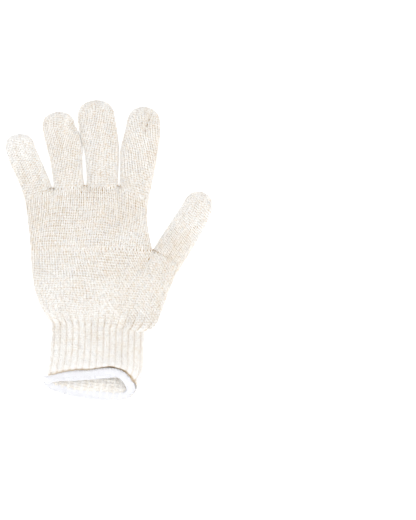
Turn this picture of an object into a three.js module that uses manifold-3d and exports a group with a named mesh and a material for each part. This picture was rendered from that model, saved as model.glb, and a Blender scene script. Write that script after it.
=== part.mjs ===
// A knitted glove liner lying flat on a table: four fingers, a thumb, the palm, a ribbed cuff
// and a white overlocked hem round its open mouth. Millimetres, +Z up, the table at z = 0.
// Seen from above, the fingertips point to +Y and the thumb to +X.
import * as THREE from "three";
import Module from "manifold-3d";

const wasm = await Module();
wasm.setup();

// Driving dimensions
const WALL = 2.0;             // thickness of the knitted fabric
const GAP = 0.3;              // clearance between two pieces that are knitted or sewn together
const BELLY = 0.45;           // height of a tube's widest line, as a share of its thickness
const FLATTEN = 0.5;          // depth of the underside that the table presses flat
const FINGER_ROUND = 2.3;     // squareness of a finger's section
const ROUND_PER_WIDTH = 0.03; // how much squarer a section gets for each mm of extra width
const FINGER_WIDTH = 28;      // width at which a section has a finger's squareness
const FINGER_POINTS = 16;     // points round a finger's section
const PALM_POINTS = 32;       // points round the palm's section
const TIP_RINGS = 4;          // rings in the round end of a finger
const TIP_BLUNT = 2.3;        // squareness of a fingertip seen from above
const TIP_THIN = 0.45;        // thickness that a fingertip keeps at its very end, as a share
const TIP_DROP = 0.27;        // height of the very end, as a share of the finger's thickness
const ROOT_REACH = 14;        // how far a finger's root runs into the palm
const ROOT_INSET = 0.5;       // how far that root lies inside the palm's own outline
const WEB_HOLLOW = 1.5;       // height of the palm's hollow at the webs between the fingers
const RIBS = 28;              // ribs round the cuff, front and back
const RIB_DEPTH = 0.9;        // depth of the groove between two ribs
const RIB_SHARE = 0.25;       // share of a rib's pitch taken by each flank
const FINE_POINTS = 360;      // points used to measure the length round a section
const LIP_SCALLOP = 0.7;      // how far each rib stands out at the cuff's mouth
const HEM_WIDTH = 4.6;        // width of the overlocked edge seen from above
const HEM_HEIGHT = 4.0;       // thickness of the overlocked edge
const HEM_STEPS = 48;         // sections round the hem
const HEM_SIDES = 8;          // sides of the hem's section
const TAIL_SIDES = 6;         // sides of the thread tail's section

// Each row is one section of a tube, from its root to its far end: the left and the right edge
// seen from above, how far its middle bows forward, and its thickness. In the cuff, the slant is
// how far the upper layer draws back from the lower one, and the lean is how much more it does
// so towards the right.
const LITTLE = [
  { leftX: -70.0, leftY: 40.5, rightX: -46.4, rightY: 48.6, bow: 0, high: 10.2 },
  { leftX: -73.5, leftY: 51.5, rightX: -49.0, rightY: 57.5, bow: 0, high: 10.4 },
  { leftX: -78.0, leftY: 62.0, rightX: -53.0, rightY: 67.5, bow: 0, high: 10.4 },
  { leftX: -83.0, leftY: 73.0, rightX: -57.3, rightY: 77.0, bow: 0, high: 10.2 },
  { leftX: -86.3, leftY: 83.5, rightX: -61.2, rightY: 85.5, bow: 0, high: 9.8 },
];
const RING = [
  { leftX: -45.6, leftY: 49.8, rightX: -20.0, rightY: 51.2, bow: 0, high: 11.0 },
  { leftX: -47.0, leftY: 61.0, rightX: -21.2, rightY: 61.5, bow: 0, high: 11.2 },
  { leftX: -48.8, leftY: 72.0, rightX: -21.8, rightY: 73.0, bow: 0, high: 11.2 },
  { leftX: -51.5, leftY: 83.0, rightX: -22.2, rightY: 85.0, bow: 0, high: 11.0 },
  { leftX: -54.0, leftY: 93.0, rightX: -24.6, rightY: 95.0, bow: 0, high: 10.8 },
  { leftX: -55.6, leftY: 101.0, rightX: -28.0, rightY: 103.0, bow: 0, high: 10.2 },
];
const MIDDLE = [
  { leftX: -18.8, leftY: 51.4, rightX: 7.4, rightY: 50.8, bow: 0, high: 11.2 },
  { leftX: -19.0, leftY: 61.0, rightX: 7.6, rightY: 61.0, bow: 0, high: 11.4 },
  { leftX: -19.8, leftY: 72.0, rightX: 7.9, rightY: 72.0, bow: 0, high: 11.4 },
  { leftX: -20.8, leftY: 83.0, rightX: 8.0, rightY: 83.0, bow: 0, high: 11.4 },
  { leftX: -23.2, leftY: 93.0, rightX: 7.6, rightY: 94.0, bow: 0, high: 11.0 },
  { leftX: -26.4, leftY: 108.0, rightX: 5.2, rightY: 110.0, bow: 0, high: 10.4 },
];
const INDEX = [
  { leftX: 8.4, leftY: 50.4, rightX: 33.0, rightY: 40.5, bow: 0, high: 11.2 },
  { leftX: 8.8, leftY: 61.0, rightX: 36.5, rightY: 56.0, bow: 0, high: 11.4 },
  { leftX: 9.0, leftY: 72.0, rightX: 39.0, rightY: 69.0, bow: 0, high: 11.4 },
  { leftX: 9.6, leftY: 83.0, rightX: 41.2, rightY: 82.0, bow: 0, high: 11.4 },
  { leftX: 11.5, leftY: 93.0, rightX: 42.8, rightY: 92.0, bow: 0, high: 11.0 },
  { leftX: 14.0, leftY: 102.5, rightX: 43.2, rightY: 101.5, bow: 0, high: 10.6 },
];
const THUMB = [
  { leftX: 36.2, leftY: 0.6, rightX: 60.4, rightY: -13.8, bow: 0, high: 11.4 },
  { leftX: 41.0, leftY: 8.0, rightX: 66.0, rightY: -5.2, bow: 0, high: 11.4 },
  { leftX: 47.6, leftY: 18.2, rightX: 73.0, rightY: 6.6, bow: 0, high: 11.2 },
  { leftX: 54.8, leftY: 29.0, rightX: 79.6, rightY: 18.2, bow: 0, high: 11.0 },
  { leftX: 61.4, leftY: 38.8, rightX: 85.2, rightY: 30.6, bow: 0, high: 10.4 },
];
const PALM = [
  { leftX: -48.0, leftY: -60.4, rightX: 30.0, rightY: -68.3, bow: 0, high: 12.4 },
  { leftX: -49.0, leftY: -59.0, rightX: 36.6, rightY: -65.4, bow: 0, high: 12.6 },
  { leftX: -51.0, leftY: -56.6, rightX: 40.6, rightY: -60.4, bow: 0, high: 12.8 },
  { leftX: -54.6, leftY: -51.4, rightX: 43.2, rightY: -53.4, bow: 0, high: 13.0 },
  { leftX: -58.4, leftY: -43.4, rightX: 46.4, rightY: -44.6, bow: 0, high: 13.0 },
  { leftX: -61.6, leftY: -33.4, rightX: 49.8, rightY: -35.2, bow: 0, high: 13.0 },
  { leftX: -63.6, leftY: -22.0, rightX: 53.6, rightY: -25.6, bow: 0, high: 12.8 },
  { leftX: -64.5, leftY: -12.0, rightX: 57.2, rightY: -18.6, bow: 1, high: 12.4 },
  { leftX: -64.9, leftY: -6.0, rightX: 47.4, rightY: -10.4, bow: 2, high: 12.2 },
  { leftX: -65.2, leftY: 0.0, rightX: 36.6, rightY: -2.6, bow: 2, high: 12.2 },
  { leftX: -66.2, leftY: 12.0, rightX: 33.6, rightY: 11.0, bow: 4, high: 12.0 },
  { leftX: -67.6, leftY: 24.0, rightX: 32.0, rightY: 22.0, bow: 7, high: 11.6 },
  { leftX: -69.0, leftY: 34.0, rightX: 31.8, rightY: 32.0, bow: 10, high: 10.4 },
  { leftX: -69.6, leftY: 38.4, rightX: 32.0, rightY: 37.2, bow: 11.5, high: 7.0 },
];
const CUFF = [
  { leftX: -48.0, leftY: -60.4, rightX: 29.4, rightY: -68.4, bow: 0, high: 12.4, slant: 0, lean: 0 },
  { leftX: -48.2, leftY: -71.5, rightX: 29.4, rightY: -76.5, bow: 0, high: 12.2, slant: 0, lean: 0 },
  { leftX: -49.0, leftY: -84.0, rightX: 29.0, rightY: -87.0, bow: 0, high: 12.4, slant: 0, lean: 0 },
  { leftX: -50.0, leftY: -94.0, rightX: 28.6, rightY: -97.0, bow: 0, high: 13.2, slant: 3, lean: 1 },
  { leftX: -51.0, leftY: -100.0, rightX: 27.0, rightY: -105.0, bow: -0.5, high: 13.6, slant: 7, lean: 2.6 },
  { leftX: -51.0, leftY: -104.2, rightX: 24.2, rightY: -111.2, bow: -1, high: 12.6, slant: 9.3, lean: 3.5 },
];

// Length of each finger's round end, past its last section
const TIPS = { little: 12.2, ring: 12.8, middle: 15.5, index: 17.0, thumb: 14.2 };

// Lasting dents in the upper layer: a line seen from above, its depth and its half width
const DENTS = [
  { fromX: 33.4, fromY: 113.0, toX: 26.6, toY: 95.5, deep: 2.2, wide: 2.6 },
  { fromX: -23.0, fromY: 50.5, toX: 7.0, toY: 50.0, deep: 0.8, wide: 2.4 },
  { fromX: 34.5, fromY: -2.0, toX: 27.0, toY: -15.0, deep: 1.6, wide: 4.0 },
  { fromX: 12.0, fromY: -30.0, toX: 16.0, toY: -56.0, deep: 0.9, wide: 5.0 },
  { fromX: -16.0, fromY: -38.0, toX: -20.0, toY: -58.0, deep: 0.7, wide: 5.0 },
];

// The middle line of the overlocked edge, once round the mouth
const HEM = [
  { x: -32.0, y: -103.6, z: 8.2 },
  { x: -17.0, y: -102.4, z: 9.4 },
  { x: -2.0, y: -101.4, z: 10.2 },
  { x: 7.5, y: -102.2, z: 10.2 },
  { x: 14.2, y: -106.2, z: 9.0 },
  { x: 17.4, y: -111.8, z: 6.2 },
  { x: 17.6, y: -117.4, z: 3.4 },
  { x: 13.6, y: -121.4, z: 2.2 },
  { x: 6.0, y: -122.4, z: 2.0 },
  { x: -9.0, y: -121.4, z: 2.0 },
  { x: -24.0, y: -119.4, z: 2.0 },
  { x: -37.0, y: -116.0, z: 2.0 },
  { x: -47.4, y: -112.4, z: 2.2 },
  { x: -51.8, y: -109.0, z: 4.0 },
  { x: -47.8, y: -105.6, z: 6.2 },
  { x: -41.4, y: -104.8, z: 7.4 },
];

// The tail of the thread chain that is left where the overlocked edge was closed
const TAIL = [
  { x: -51.2, y: -107.9, z: 4.6, radius: 1.0 },
  { x: -53.2, y: -106.1, z: 4.5, radius: 1.2 },
  { x: -55.2, y: -105.6, z: 3.6, radius: 1.2 },
  { x: -56.8, y: -106.2, z: 2.8, radius: 0.8 },
];

// A point of a smooth curve through four values, a quarter tangent at each end
function between(before, from, to, after, t) {
  const leave = (to - before) / 2;
  const arrive = (after - from) / 2;
  const square = t * t;
  const cube = square * t;
  return (
    (2 * cube - 3 * square + 1) * from +
    (cube - 2 * square + t) * leave +
    (3 * square - 2 * cube) * to +
    (cube - square) * arrive
  );
}

// Adds one smooth section halfway between each pair of rows
function halved(rows) {
  const out = [rows[0]];
  for (let i = 1; i < rows.length; i++) {
    const before = rows[Math.max(i - 2, 0)];
    const after = rows[Math.min(i + 1, rows.length - 1)];
    const middle = {};
    for (const key of Object.keys(rows[i])) {
      middle[key] = between(before[key], rows[i - 1][key], rows[i][key], after[key], 0.5);
    }
    out.push(middle, rows[i]);
  }
  return out;
}

// The section's own directions seen from above: across it, and forward along the tube
function frameOf(row) {
  const left = new THREE.Vector2(row.leftX, row.leftY);
  const right = new THREE.Vector2(row.rightX, row.rightY);
  const across = right.clone().sub(left);
  const width = across.length();
  across.normalize();
  return {
    centre: left.add(right).multiplyScalar(0.5),
    across,
    forward: new THREE.Vector2(-across.y, across.x),
    width,
  };
}

function signedPower(value, power) {
  return Math.sign(value) * Math.abs(value) ** power;
}

// How deep the upper layer is dented at a point seen from above
function dentAt(x, y) {
  const point = new THREE.Vector3(x, y, 0);
  let depth = 0;
  for (const dent of DENTS) {
    const from = new THREE.Vector3(dent.fromX, dent.fromY, 0);
    const to = new THREE.Vector3(dent.toX, dent.toY, 0);
    const nearest = new THREE.Line3(from, to).closestPointToPoint(point, true, new THREE.Vector3());
    depth += dent.deep * Math.exp(-((nearest.distanceTo(point) / dent.wide) ** 2));
  }
  return depth;
}

// One point of a section. The turn runs from the right edge over the top to the left edge and
// back under the belly. The underside is pressed flat by the table.
function sectionPoint(row, inset, turn) {
  const { centre, across, forward, width } = frameOf(row);
  const round = FINGER_ROUND + ROUND_PER_WIDTH * Math.max(width - FINGER_WIDTH, 0);
  const side = signedPower(Math.cos(turn), 2 / round);
  const rise = signedPower(Math.sin(turn), 2 / round);
  const belly = BELLY * row.high;
  const half = (row.cap ?? 1) * width / 2 - inset;
  const drawnBack = (row.slant ?? 0) + (row.lean ?? 0) * side;
  const advance = row.bow * (1 - side * side) + drawnBack * rise;
  const place = centre.clone().addScaledVector(across, half * side).addScaledVector(forward, advance);
  let z = belly + (row.high - belly - inset) * rise;
  if (rise < 0) {
    z = Math.max(inset, belly + (belly + FLATTEN - inset) * rise);
  } else {
    z -= dentAt(place.x, place.y) * rise;
  }
  return new THREE.Vector3(place.x, place.y, z);
}

function ringOf(row, inset, count) {
  const ring = [];
  for (let i = 0; i < count; i++) ring.push(sectionPoint(row, inset, (2 * Math.PI * i) / count));
  return ring;
}

// A row moved forward along its own tube
function moved(row, step) {
  const { forward } = frameOf(row);
  return {
    ...row,
    leftX: row.leftX + forward.x * step,
    leftY: row.leftY + forward.y * step,
    rightX: row.rightX + forward.x * step,
    rightY: row.rightY + forward.y * step,
  };
}

// A row made narrower at both edges
function narrowed(row, step) {
  const { across } = frameOf(row);
  return {
    ...row,
    leftX: row.leftX + across.x * step,
    leftY: row.leftY + across.y * step,
    rightX: row.rightX - across.x * step,
    rightY: row.rightY - across.y * step,
  };
}

// The rings of a round fingertip past its last section, and the point that closes it
function tipRings(row, length, inset, count) {
  const rings = [];
  for (let k = 1; k <= TIP_RINGS; k++) {
    const turn = (k / (TIP_RINGS + 1)) * (Math.PI / 2);
    const reach = (length - inset) * Math.sin(turn) ** (2 / TIP_BLUNT);
    const cap = Math.cos(turn) ** (2 / TIP_BLUNT);
    const thin = row.high * (TIP_THIN + (1 - TIP_THIN) * cap);
    rings.push(ringOf({ ...moved(row, reach), cap, high: thin }, inset, count));
  }
  const { centre, forward } = frameOf(row);
  const pole = centre.clone().addScaledVector(forward, length - inset);
  rings.push([new THREE.Vector3(pole.x, pole.y, TIP_DROP * row.high)]);
  return rings;
}

// Gathers points and triangles of one closed mesh
class Shell {
  constructor() {
    this.points = [];
    this.faces = [];
  }

  add(ring) {
    const first = this.points.length;
    this.points.push(...ring);
    return ring.map((_, i) => first + i);
  }

  // Joins two rings of the same number of points, or a ring to a single point
  band(from, to) {
    const count = from.length;
    for (let i = 0; i < count; i++) {
      const next = (i + 1) % count;
      if (to.length === 1) {
        this.faces.push([from[i], to[0], from[next]]);
      } else {
        this.faces.push([from[i], to[i], from[next]], [from[next], to[i], to[next]]);
      }
    }
  }

  geometry() {
    const geometry = new THREE.BufferGeometry();
    const flat = this.points.flatMap((point) => point.toArray());
    geometry.setAttribute("position", new THREE.Float32BufferAttribute(flat, 3));
    geometry.setIndex(this.faces.flat());
    return geometry;
  }
}

function middleOf(ring) {
  const sum = ring.reduce((total, point) => total.add(point), new THREE.Vector3());
  return [sum.divideScalar(ring.length)];
}

// A closed solid through rings, with a flat end where a ring is left open
function solidThrough(rings) {
  const shell = new Shell();
  const ids = rings.map((ring) => shell.add(ring));
  for (let i = 1; i < ids.length; i++) shell.band(ids[i - 1], ids[i]);
  shell.band([...ids[0]].reverse(), shell.add(middleOf(rings[0])));
  const last = ids[ids.length - 1];
  if (last.length > 1) shell.band(last, shell.add(middleOf(rings[rings.length - 1])));
  return shell.geometry();
}

function toManifold(geometry) {
  const vertProperties = new Float32Array(geometry.getAttribute("position").array);
  const triVerts = new Uint32Array(geometry.getIndex().array);
  return new wasm.Manifold(new wasm.Mesh({ numProp: 3, vertProperties, triVerts }));
}

function fromManifold(solid) {
  const mesh = solid.getMesh();
  const geometry = new THREE.BufferGeometry();
  geometry.setAttribute("position", new THREE.BufferAttribute(new Float32Array(mesh.vertProperties), 3));
  geometry.setIndex(new THREE.BufferAttribute(new Uint32Array(mesh.triVerts), 1));
  return geometry;
}

function joined(geometries) {
  return geometries.map(toManifold).reduce((whole, piece) => whole.add(piece));
}

// One finger: a wall round a hollow that is open at the root and closed at the tip
function fingerSolid(rows, tip) {
  const sections = halved(rows);
  sections[0] = moved(sections[0], GAP / 2);
  const last = sections[sections.length - 1];
  const outer = sections.map((row) => ringOf(row, 0, FINGER_POINTS));
  outer.push(...tipRings(last, tip, 0, FINGER_POINTS));
  const inner = sections.map((row) => ringOf(row, WALL, FINGER_POINTS));
  inner.push(...tipRings(last, tip, WALL, FINGER_POINTS));
  const shell = new Shell();
  const outerIds = outer.map((ring) => shell.add(ring));
  const innerIds = inner.map((ring) => shell.add(ring));
  for (let i = 1; i < outerIds.length; i++) {
    shell.band(outerIds[i - 1], outerIds[i]);
    shell.band([...innerIds[i - 1]].reverse(), [...innerIds[i]].reverse());
  }
  shell.band(innerIds[0], outerIds[0]);
  return shell.geometry();
}

// The short root of a finger that belongs to the palm, as one plain solid
function rootSolid(rows, inset) {
  const end = moved(rows[0], inset ? GAP : -GAP / 2);
  const start = narrowed(moved(rows[0], -ROOT_REACH), inset ? ROOT_INSET : ROOT_INSET * 2);
  const middle = narrowed(moved(rows[0], -ROOT_REACH / 2), ROOT_INSET);
  const rings = [start, middle, end].map((row) => ringOf(row, inset, FINGER_POINTS));
  return solidThrough(rings);
}

// The palm: its own tube with five finger roots, hollow through and through
function palmSolid() {
  const roots = [LITTLE, RING, MIDDLE, INDEX, THUMB];
  const sections = [moved(PALM[0], GAP / 2), ...PALM.slice(1)];
  const hollow = sections.slice();
  hollow[0] = moved(hollow[0], -WALL);
  hollow[hollow.length - 1] = { ...moved(hollow[hollow.length - 1], -WALL), high: 2 * WALL + WEB_HOLLOW };
  const outer = joined([
    solidThrough(sections.map((row) => ringOf(row, 0, PALM_POINTS))),
    ...roots.map((rows) => rootSolid(rows, 0)),
  ]);
  const inner = joined([
    solidThrough(hollow.map((row) => ringOf(row, WALL, PALM_POINTS))),
    ...roots.map((rows) => rootSolid(rows, WALL)),
  ]);
  return outer.subtract(inner);
}

// The turns that divide a section's own length, cut straight across, into chosen shares
function turnsAtShares(row, shares) {
  const straight = { ...row, slant: 0, lean: 0, bow: 0 };
  const fine = ringOf(straight, 0, FINE_POINTS);
  const length = [0];
  fine.forEach((point, i) => length.push(length[i] + point.distanceTo(fine[(i + 1) % FINE_POINTS])));
  return shares.map((share) => {
    const wanted = share * length[FINE_POINTS];
    let i = 0;
    while (length[i + 1] < wanted) i++;
    const rest = (wanted - length[i]) / (length[i + 1] - length[i]);
    return (2 * Math.PI * (i + rest)) / FINE_POINTS;
  });
}

// The cuff: a ribbed outer face with a groove between each two ribs, and a smooth inner face
function cuffSolid() {
  const sections = [moved(CUFF[0], -GAP / 2), ...CUFF.slice(1)];
  const shares = [];
  for (let rib = 0; rib < RIBS; rib++) {
    for (const step of [0, RIB_SHARE, 1 - RIB_SHARE]) shares.push((rib + step) / RIBS);
  }
  const shell = new Shell();
  const outerIds = [];
  const innerIds = [];
  sections.forEach((row, k) => {
    const crest = k === sections.length - 1 ? moved(row, -LIP_SCALLOP) : row;
    const turns = turnsAtShares(row, shares);
    const ribbed = turns.map((turn, i) =>
      i % 3 === 0 ? sectionPoint(row, RIB_DEPTH, turn) : sectionPoint(crest, 0, turn),
    );
    outerIds.push(shell.add(ribbed));
    innerIds.push(shell.add(turns.map((turn) => sectionPoint(row, WALL, turn))));
  });
  const lip = outerIds.length - 1;
  for (let k = 1; k <= lip; k++) {
    shell.band(outerIds[k], outerIds[k - 1]);
    shell.band(innerIds[k - 1], innerIds[k]);
  }
  shell.band(outerIds[0], innerIds[0]);
  shell.band(innerIds[lip], outerIds[lip]);
  return toManifold(shell.geometry()).subtract(toManifold(hemRing(GAP)));
}

// The overlocked edge: an oval roll once round the mouth, made larger by a clearance where asked
function hemRing(clearance) {
  const route = new THREE.CatmullRomCurve3(
    HEM.map((point) => new THREE.Vector3(point.x, point.y, point.z)),
    true,
    "centripetal",
  );
  const shell = new Shell();
  const rings = [];
  for (let i = 0; i < HEM_STEPS; i++) {
    const place = route.getPointAt(i / HEM_STEPS);
    const along = route.getTangentAt(i / HEM_STEPS);
    const out = new THREE.Vector3(-along.y, along.x, 0).normalize();
    const up = along.clone().cross(out).normalize();
    const ring = [];
    for (let k = 0; k < HEM_SIDES; k++) {
      const turn = (2 * Math.PI * (k + 0.5)) / HEM_SIDES;
      const point = place.clone();
      point.addScaledVector(out, (HEM_WIDTH / 2 + clearance) * Math.cos(turn));
      point.addScaledVector(up, (HEM_HEIGHT / 2 + clearance) * Math.sin(turn));
      point.z = Math.max(point.z, 0);
      ring.push(point);
    }
    rings.push(shell.add(ring));
  }
  rings.forEach((ring, i) => shell.band(rings[(i + 1) % HEM_STEPS], ring));
  return shell.geometry();
}

// The thread tail: a thin rod through its table's rows, closed at both ends
function tailRod() {
  const rings = TAIL.map((row, i) => {
    const before = TAIL[Math.max(i - 1, 0)];
    const after = TAIL[Math.min(i + 1, TAIL.length - 1)];
    const along = new THREE.Vector3(after.x - before.x, after.y - before.y, after.z - before.z);
    const out = new THREE.Vector3(-along.y, along.x, 0).normalize();
    const up = along.cross(out).normalize();
    const ring = [];
    for (let k = 0; k < TAIL_SIDES; k++) {
      const turn = (2 * Math.PI * k) / TAIL_SIDES;
      const point = new THREE.Vector3(row.x, row.y, row.z);
      point.addScaledVector(out, row.radius * Math.cos(turn));
      point.addScaledVector(up, row.radius * Math.sin(turn));
      ring.push(point);
    }
    return ring;
  });
  return solidThrough(rings);
}

function hemSolid() {
  return joined([hemRing(0), tailRod()]);
}

function knit(name, geometry, color, roughness) {
  geometry.computeVertexNormals();
  const material = new THREE.MeshStandardMaterial({ color, roughness, metalness: 0 });
  const mesh = new THREE.Mesh(geometry, material);
  mesh.name = name;
  return mesh;
}

const CREAM = 0xf0e9dc;
const PALE_CREAM = 0xf3ede2;
const WHITE = 0xf7f7fa;
const YARN_ROUGHNESS = 0.95;
const THREAD_ROUGHNESS = 0.9;

const glove = new THREE.Group();
glove.add(knit("little_finger", fingerSolid(LITTLE, TIPS.little), CREAM, YARN_ROUGHNESS));
glove.add(knit("ring_finger", fingerSolid(RING, TIPS.ring), CREAM, YARN_ROUGHNESS));
glove.add(knit("middle_finger", fingerSolid(MIDDLE, TIPS.middle), CREAM, YARN_ROUGHNESS));
glove.add(knit("index_finger", fingerSolid(INDEX, TIPS.index), CREAM, YARN_ROUGHNESS));
glove.add(knit("thumb", fingerSolid(THUMB, TIPS.thumb), CREAM, YARN_ROUGHNESS));
glove.add(knit("palm", fromManifold(palmSolid()), CREAM, YARN_ROUGHNESS));
glove.add(knit("ribbed_cuff", fromManifold(cuffSolid()), PALE_CREAM, YARN_ROUGHNESS));
glove.add(knit("overlock_hem", fromManifold(hemSolid()), WHITE, THREAD_ROUGHNESS));

export default glove;
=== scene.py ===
# %% [markdown]
# # A knitted glove liner, loop by loop
#
# The object is a cream string-knit glove that lies flat on a white table, with a ribbed cuff
# and a white overlocked edge round its open mouth. The solids of the frame hold its true
# shape. Here each of them is dressed in yarn: every course of the knit is one closed strand
# that is bent into loops, and every loop hangs in the loop before it.

# %% Load the frame
import math

import bpy
import mathutils
import numpy as np
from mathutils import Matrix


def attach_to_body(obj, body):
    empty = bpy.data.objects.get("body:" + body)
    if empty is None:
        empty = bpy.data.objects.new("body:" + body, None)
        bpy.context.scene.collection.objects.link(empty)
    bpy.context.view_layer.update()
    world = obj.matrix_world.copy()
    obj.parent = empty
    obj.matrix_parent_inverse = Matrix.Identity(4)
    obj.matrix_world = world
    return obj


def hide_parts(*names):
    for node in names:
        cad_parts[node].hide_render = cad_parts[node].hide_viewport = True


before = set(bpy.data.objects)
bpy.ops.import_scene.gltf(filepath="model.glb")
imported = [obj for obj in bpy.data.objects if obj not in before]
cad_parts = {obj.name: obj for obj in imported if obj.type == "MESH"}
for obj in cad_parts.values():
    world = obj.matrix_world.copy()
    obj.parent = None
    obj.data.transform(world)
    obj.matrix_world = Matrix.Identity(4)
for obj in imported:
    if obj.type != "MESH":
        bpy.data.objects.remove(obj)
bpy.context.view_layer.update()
MM = 0.001

# %% [markdown]
# ## The camera
#
# The photograph looks straight down, from far enough away that nothing seems to lean. Its
# frame is 416 by 520 pixels and 0.83 mm of the table falls on each pixel. The glove lies in
# the left half of the frame, so the camera hangs over a point to the right of it.

# %% Place the camera
PHOTO_WIDTH = 416
PHOTO_HEIGHT = 520
MM_PER_PIXEL = 0.83
ORIGIN_PIXEL_X = 109.25
ORIGIN_PIXEL_Y = 249.75
CAMERA_HEIGHT = 2.6
CAMERA_REACH = 20.0
SENSOR = 36.0
scene = bpy.context.scene


def add_object(name, data):
    """A new object in the scene."""
    added = bpy.data.objects.new(name, data)
    scene.collection.objects.link(added)
    return added


frame_height = PHOTO_HEIGHT * MM_PER_PIXEL * MM
aim_x = (PHOTO_WIDTH / 2 - ORIGIN_PIXEL_X) * MM_PER_PIXEL * MM
aim_y = (ORIGIN_PIXEL_Y - PHOTO_HEIGHT / 2) * MM_PER_PIXEL * MM
camera_data = bpy.data.cameras.new("camera")
camera_data.sensor_width = SENSOR
camera_data.lens = SENSOR * CAMERA_HEIGHT / frame_height
camera_data.clip_end = CAMERA_REACH
camera = add_object("camera", camera_data)
camera.location = (aim_x, aim_y, CAMERA_HEIGHT)
scene.camera = camera
print("lens", round(camera_data.lens), "mm over", [round(v, 4) for v in (aim_x, aim_y)])

# %% [markdown]
# ## The glove's outline, section by section
#
# A seamless glove is knitted as six tubes. Each table below follows one tube from its root to
# its far end. A row holds the left and the right edge of a section seen from above, how far its
# middle bows forward, and its thickness, all in millimetres. They are the sizes of the solids,
# apart from a few: loose yarn swells up to 0.6 mm further than the solids where the long fingers
# touch, and at the root, to meet the palm, the little finger is up to 0.7 mm thicker and the
# thumb up to 0.4 mm.

# %% Tables of sections
LITTLE = [
    (-70.0, 40.5, -46.4, 48.6, 0, 10.9),
    (-73.5, 51.5, -49.0, 57.5, 0, 10.6),
    (-78.0, 62.0, -53.0, 67.5, 0, 10.4),
    (-83.0, 73.0, -57.3, 77.0, 0, 10.2),
    (-86.3, 83.5, -61.2, 85.5, 0, 9.8),
]
RING = [
    (-45.6, 49.8, -20.0, 51.2, 0, 11.0),
    (-47.0, 61.0, -21.2, 61.5, 0, 11.2),
    (-48.8, 72.0, -21.8, 73.0, 0, 11.2),
    (-51.5, 83.0, -21.7, 85.0, 0, 11.0),
    (-54.0, 93.0, -24.0, 95.0, 0, 10.8),
    (-55.6, 101.0, -28.0, 103.0, 0, 10.2),
]
MIDDLE = [
    (-18.8, 51.4, 7.4, 50.8, 0, 11.2),
    (-19.0, 61.0, 7.6, 61.0, 0, 11.4),
    (-19.8, 72.0, 8.3, 72.0, 0, 11.4),
    (-21.2, 83.0, 8.5, 83.0, 0, 11.4),
    (-23.7, 93.0, 7.6, 94.0, 0, 11.0),
    (-26.4, 108.0, 5.2, 110.0, 0, 10.4),
]
INDEX = [
    (8.4, 50.4, 33.0, 40.5, 0, 11.2),
    (8.8, 61.0, 36.5, 56.0, 0, 11.4),
    (8.8, 72.0, 39.0, 69.0, 0, 11.4),
    (9.3, 83.0, 41.2, 82.0, 0, 11.4),
    (11.5, 93.0, 42.8, 92.0, 0, 11.0),
    (14.0, 102.5, 43.2, 101.5, 0, 10.6),
]
THUMB = [
    (36.2, 0.0, 60.4, -13.8, 0, 11.8),
    (41.0, 8.0, 66.0, -5.2, 0, 11.4),
    (47.6, 18.2, 73.0, 6.6, 0, 11.2),
    (54.8, 29.0, 79.6, 18.2, 0, 11.0),
    (61.4, 38.8, 85.2, 30.6, 0, 10.4),
]
FOUR_FINGER_PALM = [
    (-65.2, 0.0, 36.0, -0.8, 2, 12.2),
    (-66.2, 12.0, 33.6, 11.0, 4, 12.0),
    (-67.6, 24.0, 32.0, 22.0, 7, 11.6),
    (-69.0, 34.0, 31.8, 32.0, 10, 11.2),
]
THUMB_PALM = [
    (-63.6, -22.0, 53.6, -25.6, 0, 12.8),
    (-61.6, -33.4, 49.8, -35.2, 0, 13.0),
    (-58.4, -43.4, 46.4, -44.6, 0, 13.0),
    (-54.6, -51.4, 43.2, -53.4, 0, 13.0),
    (-51.0, -56.6, 40.6, -60.4, 0, 12.8),
    (-49.0, -59.0, 36.6, -65.4, 0, 12.6),
    (-48.0, -60.6, 30.0, -68.3, 0, 12.4),
]
CUFF = [
    (-48.0, -60.6, 29.4, -68.6, 0, 12.4),
    (-48.2, -71.5, 29.4, -76.5, 0, 12.2),
    (-49.0, -84.0, 29.0, -87.0, 0, 12.4),
    (-50.0, -94.0, 28.6, -97.0, 0, 13.2),
    (-51.0, -100.0, 27.0, -105.0, -0.5, 13.6),
    (-51.0, -104.2, 24.2, -111.2, -1, 12.6),
]
CUFF_SLANT = (0, 0, 0, 3, 7, 9.3)
CUFF_LEAN = (0, 0, 0, 1, 2.6, 3.5)

# Each finger's table, its stitch columns, the length of its round tip and how pale the tip is
FINGERS = {
    "little_finger": (LITTLE, 22, 12.2, 0.7),
    "ring_finger": (RING, 22, 12.8, 0.35),
    "middle_finger": (MIDDLE, 24, 15.5, 0.15),
    "index_finger": (INDEX, 24, 17.0, 0.2),
    "thumb": (THUMB, 24, 14.2, 0.45),
}
tables = [table for table, *_ in FINGERS.values()] + [FOUR_FINGER_PALM, THUMB_PALM, CUFF]
print("sections in the tables:", sum(map(len, tables)))

# %% [markdown]
# ## From a table row to a section
#
# The real fabric is a soft tube pressed against a table: flat below, rounded at both edges and
# gently crowned above. A superellipse gives that with one number, its squareness, which grows
# with the width, so that the wide palm stays flat on top and a finger is nearly oval. The
# line that the yarn follows runs a little under the face of the solids, so that the loops,
# which are thick, fill the wall from face to face.

# %% Section shape
BELLY = 0.45
FLATTEN = 0.5
FINGER_ROUND = 2.3
ROUND_PER_WIDTH = 0.03
FINGER_WIDTH = 28.0
SKIN = 0.88
ACROSS = 161
HALF_RING = 240
side_line = np.linspace(-1, 1, ACROSS)


def new_row(plan, high, lobes=0.0):
    return {"plan": plan, "high": high, "slant": 0.0, "lean": 0.0, "lobes": lobes}


def forward_of(chord):
    """The way along a tube, at right angles to a section, and the section's width."""
    width = np.hypot(*chord)
    return np.array([-chord[1], chord[0]]) / width, width


def unit(vectors):
    return vectors / np.linalg.norm(vectors, axis=1, keepdims=True)


def running_length(points):
    """How far along a line of points each of them lies."""
    steps = np.linalg.norm(np.diff(points, axis=0), axis=1)
    return np.concatenate([[0], np.cumsum(steps)])


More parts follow.
